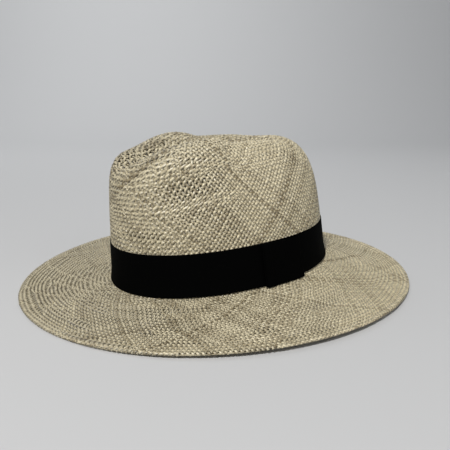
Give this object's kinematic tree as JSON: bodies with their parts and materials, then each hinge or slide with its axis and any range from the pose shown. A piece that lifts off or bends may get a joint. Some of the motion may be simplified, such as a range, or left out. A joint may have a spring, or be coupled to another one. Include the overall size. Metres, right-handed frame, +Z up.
{
  "type": "woven straw hat",
  "caption": "Handwoven straw fedora-style hat with a creased crown, a wide flat brim and a black grosgrain ribbon with a flat bow",
  "frame": {"origin": "the table plane under the middle of the brim's outline, the point the hat rests over", "axes": "+Z up through the crown, -Y towards the front of the hat, +X towards the wearer's left, where the bow is"},
  "size_m": [0.322, 0.358, 0.1279],
  "materials": {
    "straw": "natural woven straw, dry, semi-matt",
    "hem_thread": "straw-coloured sewing thread",
    "ribbon": "black grosgrain, ribbed, low sheen",
    "bow": "black grosgrain, ribbed, low sheen",
    "sweatband": "woven cotton tape, matt",
    "reed": "plain extruded plastic cord",
    "sewing_thread": "cotton thread"
  },
  "bodies": {
    "root": {"straw_body": "straw", "hem_thread": "hem_thread", "ribbon_band": "ribbon", "bow_loop": "bow", "bow_wrap": "bow", "sweatband": "sweatband", "sweatband_reed": "reed", "sweatband_seam_tape": "sweatband", "sweatband_stitch": "sewing_thread"}
  },
  "joints": []
}
